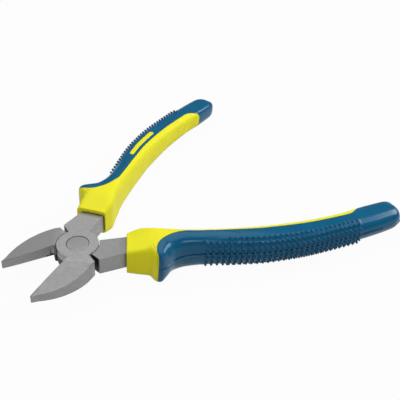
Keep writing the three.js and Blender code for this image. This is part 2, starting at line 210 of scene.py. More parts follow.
# Meshes: rows round half a ring, from the middle line of the outer side
SLEEVE_KNOB_ROWS = 52
SLEEVE_SHOULDER_ROWS = 7
SLEEVE_SIDE_ROWS = 8
EDGE_MARGIN_SHARE = 0.2
EDGE_MARGIN_LEAST = 0.05
EDGE_MARGIN_USED = 0.9
CORE_HIDDEN_ROWS = 8
CORE_PAD_ROWS = 4
CORE_INNER_ROWS = 26
CORE_INNER_START = 0.4
CORE_HIDDEN_GAP = 0.01

# Meshes: merging, curves, normals and the coarse lining of the sleeve
BEND_STEPS = 40
MERGE_DISTANCE = 2e-6
FLAT_DISTANCE = 1e-7
HOLE_SIDES = 8
NORMAL_STEP = 0.15
NORMAL_TURN = 0.02
NORMAL_END = GRIP_END - 0.02
LINING_END = GRIP_END - 2
LINING_STATION_FIRST = 6
LINING_STATION_STEP = 8
LINING_REAR_FIRST = 4
LINING_REAR_STEP = 6
LINING_ROW_FIRST = 5
LINING_ROW_STEP = 6

# Studio, metres
FLOOR_REACH = 3.0
FLOOR_CLEARANCE = 0.0001
FLOOR_GREY = 0.5
FLOOR_WHITE_SHARE = 0.96
FILL_STRENGTH = 0.14

# Camera at the photograph's place, metres and degrees
CAMERA_PLACE = (-0.084747, -0.153545, 0.159567)
CAMERA_AZIMUTH = -45.115
CAMERA_ELEVATION = 36.301
CAMERA_ROLL = 5.346
CAMERA_LENS = 48.83
CAMERA_SENSOR = 36.0
CAMERA_CLIP = (0.01, 20.0)


def profile(stations):
    """A smooth curve through stations that never overshoots them."""
    xs = np.array([s[0] for s in stations], float)
    ys = np.array([s[1] for s in stations], float)
    slope = np.diff(ys) / np.diff(xs)
    before = np.concatenate([slope[:1], slope])
    after = np.concatenate([slope, slope[-1:]])
    total = before + after
    safe = np.where(np.abs(total) < NEAR_ZERO, 1.0, total)
    tangent = np.where(before * after <= 0, 0.0, 2 * before * after / safe)

    def at(x):
        x = np.asarray(x, float)
        i = np.clip(np.searchsorted(xs, x, side="right") - 1, 0, len(slope) - 1)
        span = xs[i + 1] - xs[i]
        t = np.clip((x - xs[i]) / span, 0, 1)
        held = (1 + 2 * t) * (1 - t) ** 2 * ys[i] + t * t * (3 - 2 * t) * ys[i + 1]
        return held + span * t * (1 - t) * ((1 - t) * tangent[i] - t * tangent[i + 1])

    return at


inner_side = profile([
    (15, CLOSED_GAP), (25, CLOSED_GAP), (34, 3), (42, 5.2), (52, 7.2), (65, 9.2),
    (80, 11), (98, 11.6), (120, 10.4), (134, 8.1), (151, 6.5),
])
outer_side = profile([
    (15, 12.2), (19, 13.2), (24, 15), (27, 16.2), (28, 18.8), (29, 20.7),
    (30.5, 21.4), (33, 20.2), (38, 16.8), (42.5, 15.9), (52, 17.3), (65, 20.6),
    (80, 23.6), (98, 24.9), (120, 23.9), (134, 22.7), (151, 20),
])
half_depth = profile([
    (15, 5.4), (19.3, 6.1), (29, 8.5), (33, 9), (38, 9), (52, 8.3),
    (80, 7.6), (110, 6.5), (134, 5.9), (151, 5.7),
])


def smooth(x, low, high):
    t = np.clip((np.asarray(x, float) - low) / (high - low), 0, 1)
    return t * t * (3 - 2 * t)


def spread(start, end, count):
    return list(np.linspace(start, end, count))


def section(x):
    """Middle, half width, half depth and the two corner powers of the grip at a station."""
    past = np.clip((x - GRIP_END) / END_ROUNDING + 1, 0, 1)
    shrink = END_FLAT + (1 - END_FLAT) * (1 - past ** END_POWER) ** (1 / END_POWER)
    inner, outer = inner_side(x), outer_side(x)
    middle = (inner + outer) / 2
    half_width = (outer - inner) / 2 * shrink
    inner_power = BOXY_POWER + (INNER_POWER - BOXY_POWER) * smooth(x, BOXY_END, INNER_ROUND_START)
    outer_power = BOXY_POWER + (OUTER_POWER - BOXY_POWER) * smooth(x, BOXY_END, OUTER_ROUND_START)
    return middle, half_width, half_depth(x) * shrink, inner_power, outer_power


def ring(x, turn):
    """Points of the grip's outside at one station, from the outer side over the top."""
    middle, half, height, inner_power, outer_power = section(x)
    c, s = np.cos(turn), np.sin(turn)
    power = np.where(c < 0, inner_power, outer_power)
    y = middle + half * np.sign(c) * np.abs(c) ** (2 / power)
    z = height * np.sign(s) * np.abs(s) ** (2 / power)
    return np.stack([np.full_like(y, x), y, z], -1)


def turn_of(share, x):
    """The turn at which the section has a given share of its width, counted from the inner side."""
    inner_power, outer_power = section(x)[3:]
    c = np.clip(2 * share - 1, -1, 1)
    power = outer_power if c >= 0 else inner_power
    return math.acos(math.copysign(abs(c) ** (power / 2), c))


def bend(t, start, first_pull, second_pull, end):
    """One coordinate of the curve along which the sleeve's front edge turns into its side."""
    early = (1 - t) ** 3 * start + 3 * (1 - t) ** 2 * t * first_pull
    return early + 3 * (1 - t) * t * t * second_pull + t ** 3 * end


def front_share(x):
    """Share of the width at which the sleeve's edge runs in its bend behind the front."""
    inner_end = inner_side(SLEEVE_BEND_END)
    end = float(inner_end + SLEEVE_SHARE * (outer_side(SLEEVE_BEND_END) - inner_end))
    low, high = 0.0, 1.0
    for _ in range(BEND_STEPS):
        t = (low + high) / 2
        place = bend(t, SLEEVE_FRONT, SLEEVE_FRONT, SLEEVE_FRONT + SLEEVE_FRONT_PULL, SLEEVE_BEND_END)
        low, high = (t, high) if place < x else (low, t)
    y = bend(t, SLEEVE_FRONT_TOP, end + SLEEVE_FRONT_RISE, end, end)
    width = float(outer_side(x) - inner_side(x))
    return min(max((y - float(inner_side(x))) / width, SLEEVE_SHARE), SLEEVE_SHARE_MOST)


def edge_share(x):
    """Share of the width at which the sleeve's edge runs."""
    if x < SLEEVE_FRONT:
        return 1.0
    if x < SLEEVE_BEND_END:
        return front_share(x)
    if x <= SLEEVE_BLEND_END:
        return SLEEVE_SHARE
    if x >= SLEEVE_CAP:
        return 0.0
    gone = (x - SLEEVE_BLEND_END) / (SLEEVE_CAP - SLEEVE_BLEND_END)
    return SLEEVE_SHARE * max(1 - gone ** PANEL_END_POWER, 0)


def window_half(x):
    """Half width of the window as a share, closing to rounded ends."""
    start, end = WINDOW
    into = min(x - start, end - x)
    if into >= 0:
        past = 1 - min(into, WINDOW_END_RADIUS) / WINDOW_END_RADIUS
        return max(WINDOW_HALF_SHARE * math.sqrt(1 - past * past), WINDOW_LEAST_SHARE)
    wider = WINDOW_HALF_SHARE - WINDOW_LEAST_SHARE
    return WINDOW_LEAST_SHARE + wider * float(smooth(-into, 0, WINDOW_FADE))


# Turns that stay close together where the squarish section runs along its flats
FINE_START = 1e-10
FINE_END = 0.05
FINE_COUNT = 120
EVEN_START = 0.06
EVEN_COUNT = 200
FINE = np.geomspace(FINE_START, FINE_END, FINE_COUNT)
EVEN = np.linspace(EVEN_START, math.pi / 2 - EVEN_START, EVEN_COUNT)
QUARTER = np.concatenate([[0], FINE, EVEN, math.pi / 2 - FINE[::-1]])
ALL_TURNS = np.concatenate([QUARTER, [math.pi / 2], math.pi - QUARTER[::-1]])


class Rows:
    """Arc lengths round one station and the places of the lines that the mesh follows."""

    def __init__(self, x, share=None):
        self.x = x
        self.turns = ALL_TURNS
        points = ring(x, self.turns)
        steps = np.linalg.norm(np.diff(points, axis=0), axis=1)
        self.arc = np.concatenate([[0], np.cumsum(steps)])
        edge = edge_share(x) if share is None else share
        rest = 1 - edge
        self.edge = self.place(edge)
        middle = edge + (WINDOW_SHARE - SLEEVE_SHARE) / (1 - SLEEVE_SHARE) * rest
        half = window_half(x) * rest / (1 - SLEEVE_SHARE)
        self.window_inner = self.place(middle - half)
        self.window_outer = self.place(middle + half)
        self.knobs = self.place(edge + (KNOB_SHARE - SLEEVE_SHARE) / (1 - SLEEVE_SHARE) * rest)
        self.end = self.arc[-1]

    def place(self, share):
        return float(np.interp(turn_of(share, self.x), self.turns, self.arc))

    def turn(self, arc):
        return np.interp(arc, self.arc, self.turns)


def panel_height(x, arc):
    """Height of the thin panel under the knobs."""
    front = smooth(x, KNOB_FIRST - PANEL_FRONT[0], KNOB_FIRST - PANEL_FRONT[1])
    rear = 1 - smooth(x, KNOB_LAST + PANEL_REAR[0], KNOB_LAST + PANEL_REAR[1])
    edge = KNOB_ROW_FIRST + KNOB_ROW_STEP * (len(KNOB_ROW_DELAY) - 1) + PANEL_MARGIN
    slant = edge - PANEL_SLANT * (1 - smooth(x, *PANEL_SLANT_RUN))
    upper = 1 - smooth(arc, slant - PANEL_EDGE, slant)
    return PANEL_RISE * (front * rear) * upper * smooth(arc, *RIDGE_CLEAR)


def knob_field(x, arc, grooved):
    """Height of the knobs, their panel and the moulding ledge above the smooth sleeve."""
    ledge = RIDGE_HEIGHT * np.clip(1 - np.abs(arc) / RIDGE_HALF, 0, 1) ** RIDGE_POWER
    ledge = ledge * smooth(x, SLEEVE_FRONT, SLEEVE_FRONT + RIDGE_EASE)
    groove = RIDGE_GROOVE * np.clip(1 - np.abs(arc - GROOVE_PLACE) / GROOVE_HALF, 0, 1)
    height = ledge - (groove if grooved else 0) + panel_height(x, arc)
    count = int(round((KNOB_LAST - KNOB_FIRST) / KNOB_PITCH)) + 1
    nearest = np.clip(np.round((x - KNOB_FIRST) / KNOB_PITCH), 0, count - 1)
    for row, (delay, knob_height) in enumerate(zip(KNOB_ROW_DELAY, KNOB_ROW_HEIGHT)):
        place = KNOB_ROW_FIRST + KNOB_ROW_STEP * row
        along = KNOB_FIRST + KNOB_PITCH * np.maximum(nearest, delay)
        reach = np.sqrt((x - along) ** 2 + (arc - place) ** 2)
        height = height + knob_height * np.clip((KNOB_BASE - reach) / (KNOB_BASE - KNOB_TIP), 0, 1)
    return height


def base_normals(stations, arcs):
    """Normals of the smooth body itself, from small steps on its surface."""
    out = np.zeros(arcs.shape + (3,))
    for i, x in enumerate(stations):
        turns = arcs[i]
        along = ring(min(x + NORMAL_STEP, NORMAL_END), turns) - ring(max(x - NORMAL_STEP, GRIP_START), turns)
        level = min(x, NORMAL_END)
        sideways = ring(level, turns + NORMAL_TURN) - ring(level, turns - NORMAL_TURN)
        normal = np.cross(along, sideways)
        here = ring(x, turns)
        outward = np.stack([np.zeros_like(turns), here[:, 1] - section(x)[0], here[:, 2]], -1)
        sign = np.sign((normal * outward).sum(-1, keepdims=True))
        length = np.linalg.norm(normal, axis=-1, keepdims=True)
        out[i] = normal * np.where(sign == 0, 1, sign) / np.where(length < NEAR_ZERO, 1, length)
    return out


def raised(stations, arcs, offsets):
    """Grid of points on the smooth body, moved along its normals by the offsets."""
    base = np.array([ring(x, turns) for x, turns in zip(stations, arcs)])
    return base + base_normals(stations, arcs) * offsets[..., None]


def grid_faces(columns, rows, closed):
    faces = []
    last = rows if closed else rows - 1
    for i in range(columns - 1):
        for j in range(last):
            k = (j + 1) % rows
            faces.append((i * rows + j, i * rows + k, (i + 1) * rows + k, (i + 1) * rows + j))
    return faces


def mesh_from(name, points, faces):
    """Closed, smooth-shaded mesh in metres from points in millimetres."""
    mesh = bpy.data.meshes.new(name)
    mesh.from_pydata([tuple(p * MM) for p in points], [], faces)
    bm = bmesh.new()
    bm.from_mesh(mesh)
    bmesh.ops.remove_doubles(bm, verts=bm.verts, dist=MERGE_DISTANCE)
    bmesh.ops.dissolve_degenerate(bm, edges=bm.edges, dist=FLAT_DISTANCE)
    rims = [edge for edge in bm.edges if edge.is_boundary]
    bmesh.ops.holes_fill(bm, edges=rims, sides=HOLE_SIDES)
    bmesh.ops.recalc_face_normals(bm, faces=bm.faces)
    for face in bm.faces:
        face.smooth = True
    bm.to_mesh(mesh)
    bm.free()
    return mesh


def sleeve_lining(start, stations, arcs):
    """Points and faces of the sleeve's inside, coarse, on the edge points that the outside already has."""
    rows_n = arcs.shape[1]
    last = rows_n - 1
    closed = next(i for i, x in enumerate(stations) if x >= SLEEVE_CAP - TINY)
    end = max(i for i, x in enumerate(stations) if x <= LINING_END)
    along = [0, *range(LINING_STATION_FIRST, closed - 1, LINING_STATION_STEP), closed - 1, closed]
    along += [*range(closed + LINING_REAR_FIRST, end, LINING_REAR_STEP), end]
    around = [0, *range(LINING_ROW_FIRST, last - LINING_ROW_FIRST + 1, LINING_ROW_STEP), last]
    depths = np.full(arcs[along].shape, -SLEEVE_DEPTH)
    inside = dict(zip(along, raised([stations[i] for i in along], arcs[along], depths)))
    places, points = {}, []

    def vertex(i, j):
        if i == 0 or (j in (0, last) and i < closed):
            return i * rows_n + j
        if (i, j) not in places:
            places[i, j] = start + len(points)
            points.append(inside[i][j])
        return places[i, j]

    faces = []
    for a, b in zip(along, along[1:]):
        for c, d in zip(around, around[1:]):
            lower = range(a, b + 1) if c == 0 and b < closed else (a, b)
            upper = range(b, a - 1, -1) if d == last and b < closed else (b, a)
            front = range(d - 1, c, -1) if a == 0 else ()
            loop = [vertex(i, c) for i in lower] + [vertex(i, d) for i in upper]
            faces.append(tuple(loop + [vertex(0, j) for j in front]))
    faces.append(tuple(vertex(end, j) for j in around[:-1]))
    return np.array(points), faces


def sleeve_columns():
    """Stations along the sleeve, closest at the knobs, each with the offset that rolls in the front edge."""
    blend_run = SLEEVE_CAP - SLEEVE_BLEND_END
    blend = [SLEEVE_BLEND_END + blend_run * math.sin(a) for a in spread(*SLEEVE_BLEND_TURNS)]
    shaft = [x for run in SLEEVE_RUNS for x in spread(*run)]
    later = [x for x in shaft if x < blend[0]] + blend + spread(*SLEEVE_REAR_RUN)
    round_start = GRIP_END - END_ROUNDING
    later += [round_start + END_ROUNDING * math.sin(a) for a in spread(*SLEEVE_END_TURNS)]
    return [(SLEEVE_FRONT + d, off) for d, off in SLEEVE_ROLL] + [(x, 0.0) for x in later]


def sleeve_half(rows):
    """Arcs with the offsets above and below for half a ring, from the middle line to the sleeve's edge."""
    open_edge = 1.0 if rows.x < SLEEVE_CAP - TINY else 0.0
    in_window = 1.0 if WINDOW[0] <= rows.x <= WINDOW[1] else 0.0
    inner, outer = rows.window_inner, rows.window_outer
    lip = WINDOW_ROLL[0][0]
    half = [(a, 0.0) for a in spread(0, rows.knobs, SLEEVE_KNOB_ROWS)]
    half += [(a, 0.0) for a in spread(rows.knobs, outer - lip, SLEEVE_SHOULDER_ROWS)[1:]]
    # The window's floor has a second row at its outer wall, which merging joins to the first
    half += [(max(outer - d, 0), off * in_window) for d, off in WINDOW_ROLL[1:] + WINDOW_ROLL[-1:]]
    half += [(inner + d, off * in_window) for d, off in reversed(WINDOW_ROLL)]
    margin = min(SLEEVE_ROLL[-1][0], EDGE_MARGIN_SHARE * max(rows.edge - inner, EDGE_MARGIN_LEAST))
    half += [(a, 0.0) for a in spread(inner + lip, rows.edge - margin, SLEEVE_SIDE_ROWS)[1:]]
    edge_roll = SLEEVE_ROLL[-2::-1]
    most = margin * EDGE_MARGIN_USED
    half += [(rows.edge - min(d, most) * open_edge, off * open_edge) for d, off in edge_roll]
    arc, above = np.array(half).T
    at_edge = np.arange(len(half)) >= len(half) - len(edge_roll)
    return np.maximum.accumulate(arc), above, np.where(at_edge, above, 0.0)


def end_cap(points, faces, rows_n):
    """The points and faces with the slightly bulging disc that closes the sleeve's end."""
    last = len(points) - rows_n
    start = len(points)
    middle = section(GRIP_END)[0]
    rings = []
    for scale in CAP_SCALES:
        cap = points[last:].copy()
        cap[:, 1] = middle + (cap[:, 1] - middle) * scale
        cap[:, 2] = cap[:, 2] * scale
        cap[:, 0] = GRIP_END + CAP_BULGE * (1 - scale * scale)
        rings.append(cap)
    points = np.concatenate([points] + rings + [np.array([[GRIP_END + CAP_BULGE, middle, 0]])])
    previous = last
    for k in range(len(rings)):
        here = start + k * rows_n
        faces += [(previous + j, previous + j + 1, here + j + 1, here + j) for j in range(rows_n - 1)]
        previous = here
    tip = len(points) - 1
    faces += [(previous + j, previous + j + 1, tip) for j in range(rows_n - 1)]
    return points, faces


def sleeve_mesh():
    """The blue overmoulding: rolled edges, window, knobs, moulding ledge and end cap."""
    columns = sleeve_columns()
    stations = [x for x, _ in columns]
    arcs, offsets = [], []
    for x, front in columns:
        rows = Rows(x)
        arc, above, below = sleeve_half(rows)
        turns = rows.turn(arc)
        arcs.append(np.concatenate([-turns[:0:-1], turns]))
        rolled = np.minimum(np.concatenate([below[:0:-1], above]), front)
        knobs = np.concatenate([knob_field(x, arc, True)[:0:-1], knob_field(x, arc, False)])
        has_knobs = (rolled > KNOB_LOWEST_ROLL) & (front == 0.0)
        offsets.append(rolled + knobs * has_knobs)
    arcs = np.array(arcs)
    grid = raised(stations, arcs, np.array(offsets))
    columns_n, rows_n = grid.shape[:2]
    points, faces = end_cap(grid.reshape(-1, 3), grid_faces(columns_n, rows_n, False), rows_n)
    lining, lining_faces = sleeve_lining(len(points), stations, arcs)
    return mesh_from("sleeve", np.concatenate([points, lining]), faces + lining_faces)


def core_columns():
    """Stations along the core, each with the edge's share, where it is set, and the rebate's offset.

    They are closest at the flange, in the sleeve's bend and at the window's ends.
    """
    front = SLEEVE_FRONT - CORE_GAP
    first = edge_share(SLEEVE_FRONT)
    columns = [(x, 1.0, 0.0) for x in spread(*COLLAR_RUN) + [COLLAR_LAST]]
    columns += [(front - d, first, off) for d, off in FLANGE_ROLL]
    blend_run = SLEEVE_CAP - CORE_GAP - SLEEVE_BLEND_END
    runs = CORE_FRONT_RUNS + CORE_WINDOW_RUNS + CORE_BACK_RUNS
    later = [x for run in runs for x in spread(*run)]
    later += [SLEEVE_BLEND_END + blend_run * math.sin(a) for a in spread(*CORE_BLEND_TURNS)]
    later += spread(*CORE_REAR_RUN)
    return columns + [(x, None, -CORE_DEPTH) for x in later]


def core_half(rows, padded, sunk):
    """Arcs with the offsets above and below for half a ring, from the hidden rebate to the inner side."""
    x, edge = rows.x, rows.edge
    inner, outer = rows.window_inner - CORE_GAP, rows.window_outer + CORE_GAP
    hidden_end = max(min(rows.knobs, edge - CORE_HIDDEN_GAP), 0)
    half = [(a, sunk, sunk) for a in spread(0, hidden_end, CORE_HIDDEN_ROWS)]
    pad = [(outer + d, off) for d, off in PAD_ROLL]
    pad += [(a, PAD_TOP) for a in spread(outer + PAD_FLAT, inner - PAD_FLAT, CORE_PAD_ROWS)]
    pad += [(inner - d, off) for d, off in reversed(PAD_ROLL)]
    half += [(a, off if padded else sunk, sunk) for a, off in pad]
    half.append((max((rows.window_inner - CORE_GAP / 2 + edge) / 2, 0), sunk, sunk))
    begin = edge + (CORE_GAP if x < SLEEVE_CAP - CORE_GAP else 0.0)
    half += [(begin + d, max(sunk, off), max(sunk, off)) for d, off in CORE_ROLL]
    half += [(a, 0.0, 0.0) for a in spread(begin + CORE_INNER_START, rows.end, CORE_INNER_ROWS)]
    arc, above, below = np.array(half).T
    if x > SLEEVE_CAP - CORE_GAP - TINY:
        above, below = np.full_like(arc, sunk), np.full_like(arc, sunk)
    return np.clip(np.maximum.accumulate(arc), 0, rows.end), above, below


def collar_rings(outline, turns):
    """Rings from the inside of the mouth over the collar's front face to its outside."""
    c, s = np.cos(turns), np.sin(turns)
    mouth = np.stack([
        np.zeros_like(c),
        MOUTH_CENTRE + MOUTH_HALF_WIDTH * np.sign(c) * np.abs(c) ** MOUTH_CORNER_POWER,
        MOUTH_HALF_HEIGHT * np.sign(s) * np.abs(s) ** MOUTH_CORNER_POWER,
    ], -1)
    toward = outline - np.array([0, (outline[:, 1].min() + outline[:, 1].max()) / 2, 0])
    toward[:, 0] = 0
    toward = toward / np.linalg.norm(toward[:, 1:], axis=1, keepdims=True)
    flared = mouth * np.array([1, 1, MOUTH_FLARE])
    rings = [(mouth, MOUTH_DEPTH), (mouth, MOUTH_ROLL[0]), (flared, MOUTH_ROLL[1])]
    rings += [(mouth + (outline - mouth) * share, 0.0) for share in COLLAR_FACE_SHARES]
    rings += [(outline - toward * amount, behind) for amount, behind in COLLAR_ROLL]
    placed = []
    for shape, behind in rings:
        moved = shape.copy()
        moved[:, 0] = COLLAR_FRONT + behind
        placed.append(moved)
    return np.array(placed)


def core_mesh():
    """The yellow moulding: collar with its mouth, the visible inner side, the pad and the hidden rebate."""
    columns = core_columns()
    arcs, offsets = [], []
    for x, share, sunk in columns:
        rows = Rows(x, share)
        padded = share is None and WINDOW[0] + CORE_GAP <= x <= WINDOW[1] - CORE_GAP
        arc, above, below = core_half(rows, padded, sunk)
        turns = rows.turn(arc)
        arcs.append(np.concatenate([-turns[:0:-1], turns[:-1]]))
        offsets.append(np.concatenate([below[:0:-1], above[:-1]]))
    arcs = np.array(arcs)
    points = raised([column[0] for column in columns], arcs, np.array(offsets))
    points = np.concatenate([collar_rings(points[0], arcs[0]), points])
    keep = 1 - smooth(points[..., 0], COLLAR_FRONT, COLLAR_BLEND_END)
    points[..., 0] -= math.tan(math.radians(COLLAR_RAKE)) * (points[..., 1] - MOUTH_CENTRE) * keep
    columns_n, rows_n = points.shape[:2]
    faces = grid_faces(columns_n, rows_n, True)
    last = (columns_n - 1) * rows_n
    faces.append(tuple(last + j for j in range(rows_n)))
    faces.append(tuple(range(rows_n)))
    return mesh_from("core", points.reshape(-1, 3), faces)


# Materials
def node_material(name):
    material = bpy.data.materials.new(name)
    material.use_nodes = True
    tree = material.node_tree
    shader = next(n for n in tree.nodes if n.type == "BSDF_PRINCIPLED")
    return material, tree, shader


def add_node(tree, kind, **values):
    node = tree.nodes.new(kind)
    for key, value in values.items():
        if key in node.inputs:
            node.inputs[key].default_value = value
        else:
            setattr(node, key, value)
    return node


def object_noise(tree, scale, detail, roughness):
    place = add_node(tree, "ShaderNodeTexCoord")
    noise = add_node(tree, "ShaderNodeTexNoise", Scale=scale, Detail=detail, Roughness=roughness)
    tree.links.new(place.outputs["Object"], noise.inputs["Vector"])
    return noise.outputs["Fac"]


def ramp(tree, source, stops):
    """Colour that follows a source through stops of a place and a colour, or a grey number."""
    node = add_node(tree, "ShaderNodeValToRGB")
    while len(node.color_ramp.elements) < len(stops):
        node.color_ramp.elements.new(0.5)
    for element, (place, colour) in zip(node.color_ramp.elements, stops):
        element.position = place
        element.color = (colour, colour, colour, 1) if isinstance(colour, float) else (*colour, 1)
    tree.links.new(source, node.inputs["Fac"])
    return node.outputs["Color"]


def bump(tree, shader, source, strength, distance):
    node = add_node(tree, "ShaderNodeBump", Strength=strength, Distance=distance)
    tree.links.new(source, node.inputs["Height"])
    tree.links.new(node.outputs["Normal"], shader.inputs["Normal"])
    return node


def mix_colours(tree, factor):
    """A colour mix by a factor, with its two colour inputs and its result."""
    node = add_node(tree, "ShaderNodeMix", data_type="RGBA")
    tree.links.new(factor, node.inputs[0])
    return node.inputs[6], node.inputs[7], node.outputs[2]


def math_node(tree, operation, first, second=0.0):
    node = add_node(tree, "ShaderNodeMath", operation=operation)
    for socket, value in zip(node.inputs, (first, second)):
        if isinstance(value, float):
            socket.default_value = value
        else:
            tree.links.new(value, socket)
    return node.outputs[0]


def pivot_distance(tree, x, y):
    squares = math_node(tree, "ADD", math_node(tree, "MULTIPLY", x, x), math_node(tree, "MULTIPLY", y, y))
    return math_node(tree, "SQRT", squares)


def recess_shade_mask(tree, place, parts):
    """One on the upright walls of the recess beside the lap, which get painted shade, zero elsewhere."""
    x, y, z = parts.outputs
    normal = add_node(tree, "ShaderNodeSeparateXYZ")
    tree.links.new(place.outputs["Normal"], normal.inputs[0])
    upright = math_node(tree, "LESS_THAN", math_node(tree, "ABSOLUTE", normal.outputs[2]), RECESS_UPRIGHT)
    inside = math_node(tree, "LESS_THAN", pivot_distance(tree, x, y), RECESS_RADIUS * MM)
    behind = math_node(tree, "GREATER_THAN", x, RECESS_SHOULDER[0] * MM)
    aside = math_node(tree, "GREATER_THAN", math_node(tree, "ABSOLUTE", y), RECESS_SHOULDER[1] * MM)
    shoulder = math_node(tree, "MULTIPLY", behind, aside)
    ahead = math_node(tree, "LESS_THAN", x, RECESS_ROOT[0] * MM)
    below = math_node(tree, "LESS_THAN", z, RECESS_ROOT[1] * MM)
    root = math_node(tree, "MULTIPLY", ahead, below)
    zone = math_node(tree, "MAXIMUM", shoulder, root)
    return math_node(tree, "MULTIPLY", zone, math_node(tree, "MULTIPLY", upright, inside))


def blast_mask(tree, parts, edge_place):
    """One on the lap, the far neck and the near jaw's root, zero on the ground faces."""
    x, y = parts.outputs[0], parts.outputs[1]
    along = math_node(tree, "MULTIPLY", x, math.cos(math.radians(GROUND_EDGE_ANGLE)))
    across = math_node(tree, "MULTIPLY", y, math.sin(math.radians(GROUND_EDGE_ANGLE)))
    past_edge = add_node(tree, "ShaderNodeMapRange")
    past_edge.inputs["From Min"].default_value = edge_place * MM
    past_edge.inputs["From Max"].default_value = (edge_place + GROUND_EDGE_WIDTH) * MM
    tree.links.new(math_node(tree, "ADD", along, across), past_edge.inputs["Value"])
    outside_lap = math_node(tree, "GREATER_THAN", pivot_distance(tree, x, y), LAP_RADIUS * MM)
    product = math_node(tree, "MULTIPLY", x, y)
    other_lever = math_node(tree, "LESS_THAN", product, OTHER_LEVER_PRODUCT * MM * MM)
    left_out = math_node(tree, "MULTIPLY", outside_lap, other_lever)
    kept = math_node(tree, "SUBTRACT", 1.0, left_out)
    return math_node(tree, "MULTIPLY", past_edge.outputs["Result"], kept)


def steel_material(name, ground, blasted, speckle, edge_place):
    """Steel that is ground smooth on the jaws and blasted, with small pits, behind the ground edge."""
    material, tree, shader = node_material(name)
    shader.inputs["Metallic"].default_value = STEEL_METALLIC
    grain = object_noise(tree, scale=2300, detail=4, roughness=0.62)
    fine = object_noise(tree, scale=900, detail=4, roughness=0.5)
    patch = object_noise(tree, scale=420, detail=3, roughness=0.5)
    place = add_node(tree, "ShaderNodeTexCoord")
    parts = add_node(tree, "ShaderNodeSeparateXYZ")
    tree.links.new(place.outputs["Object"], parts.inputs[0])
    zone = blast_mask(tree, parts, edge_place)
    ground_input, blasted_input, finish = mix_colours(tree, zone)
    tree.links.new(ramp(tree, fine, list(zip(GROUND_STOPS, ground))), ground_input)
    tree.links.new(ramp(tree, grain, list(zip(BLASTED_STOPS, blasted))), blasted_input)
    # Painted shade: the upright recess walls beside the lap are coloured near-black in place of their shadow
    finish_input, painted_shade_input, colour = mix_colours(tree, recess_shade_mask(tree, place, parts))
    tree.links.new(finish, finish_input)
    painted_shade_input.default_value = RECESS_SHADE_COLOUR
    tree.links.new(colour, shader.inputs["Base Color"])
    tree.links.new(ramp(tree, patch, STEEL_ROUGHNESS), shader.inputs["Roughness"])
    pits = bump(tree, shader, grain, strength=speckle, distance=PIT_DEPTH * MM)
    depth = add_node(tree, "ShaderNodeMapRange")
    depth.inputs["To Min"].default_value = GROUND_PIT_SHARE * speckle
    depth.inputs["To Max"].default_value = speckle
    tree.links.new(zone, depth.inputs["Value"])
    tree.links.new(depth.outputs["Result"], pits.inputs["Strength"])
    return material


def plastic_material(name, dark, light, roughness, specular, texture):
    """Moulded plastic with faint clouds in its colour and a fine grain."""
    material, tree, shader = node_material(name)
    shader.inputs["Specular IOR Level"].default_value = specular
    cloud = object_noise(tree, scale=90, detail=3, roughness=0.5)
    grain = object_noise(tree, scale=3200, detail=2, roughness=0.5)
    tree.links.new(ramp(tree, cloud, list(zip(PLASTIC_STOPS, (dark, light)))), shader.inputs["Base Color"])
    tree.links.new(ramp(tree, grain, list(zip(PLASTIC_STOPS, roughness))), shader.inputs["Roughness"])
    bump(tree, shader, grain, strength=texture, distance=PLASTIC_GRAIN_DEPTH * MM)
    return material


lever_steel = steel_material(
    "lever_steel", ground=(0.29, 0.32), blasted=(0.18, 0.35, 0.46), speckle=0.7,
    edge_place=GROUND_EDGE_PLACE)
rivet_steel = steel_material(
    "rivet_steel", ground=(0.28, 0.32), blasted=(0.26, 0.31, 0.34), speckle=0.1,
    edge_place=BLASTED_ALL_OVER)
core_plastic = plastic_material(
    "core_plastic", dark=(0.84, 0.79, 0.004), light=(0.9, 0.85, 0.008),
    roughness=(0.45, 0.55), specular=0.3, texture=0.06)
sleeve_rubber = plastic_material(
    "sleeve_rubber", dark=(0.002, 0.098, 0.205), light=(0.004, 0.116, 0.24),
    roughness=(0.17, 0.24), specular=0.22, texture=0.06)


def piece(name, mesh, material, body, node, place=None):
    obj = bpy.data.objects.new(name, mesh)
    scene.collection.objects.link(obj)
    mesh.materials.clear()
    mesh.materials.append(material)
    if place is not None:
        mesh.transform(place)
    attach(obj, body)
    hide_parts(node)
    return obj


# Grips: one core and one sleeve, used the second time turned over
lift = Matrix.Translation((0, 0, MIDDLE_HEIGHT * MM))
right_place = lift @ Matrix.Rotation(math.radians(HALF_OPENING), 4, "Z")
turned_over = Matrix.Rotation(math.pi, 4, "X")
left_place = lift @ Matrix.Rotation(-math.radians(HALF_OPENING), 4, "Z") @ turned_over
core = core_mesh()
sleeve = sleeve_mesh()
for side, place in (("right", right_place), ("left", left_place)):
    body = side + "_arm"
    core_node = side + "_grip_core"
    sleeve_node = side + "_grip_sleeve"
    piece(side + "_core", core.copy(), core_plastic, body, core_node, place)
    piece(side + "_sleeve", sleeve.copy(), sleeve_rubber, body, sleeve_node, place)


# Levers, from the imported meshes
def lever_mesh(node):
    """The forged lever with its flat faces whole again and its jaw tip blunted."""
    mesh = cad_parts[node].data.copy()
    bm = bmesh.new()
    bm.from_mesh(mesh)
    bmesh.ops.remove_doubles(bm, verts=bm.verts, dist=MERGE_DISTANCE)
    flat_angle = math.radians(LEVER_FLAT_ANGLE)
    bmesh.ops.dissolve_limit(bm, angle_limit=flat_angle, verts=bm.verts, edges=bm.edges)
    tip_start = max(vert.co.xy.length for vert in bm.verts if vert.co.x < 0) - JAW_TIP_REACH * MM
    upright = [
        edge for edge in bm.edges
        if all(v.co.x < 0 and v.co.xy.length > tip_start for v in edge.verts)
        and abs(edge.verts[0].co.z - edge.verts[1].co.z) > JAW_TIP_UPRIGHT * edge.calc_length()
    ]
    blunting = JAW_TIP_ROUNDING * MM
    bmesh.ops.bevel(bm, geom=upright, offset=blunting, segments=4, profile=0.5, affect="EDGES")
    for face in bm.faces:
        face.smooth = True
    bm.to_mesh(mesh)
    bm.free()
    return mesh


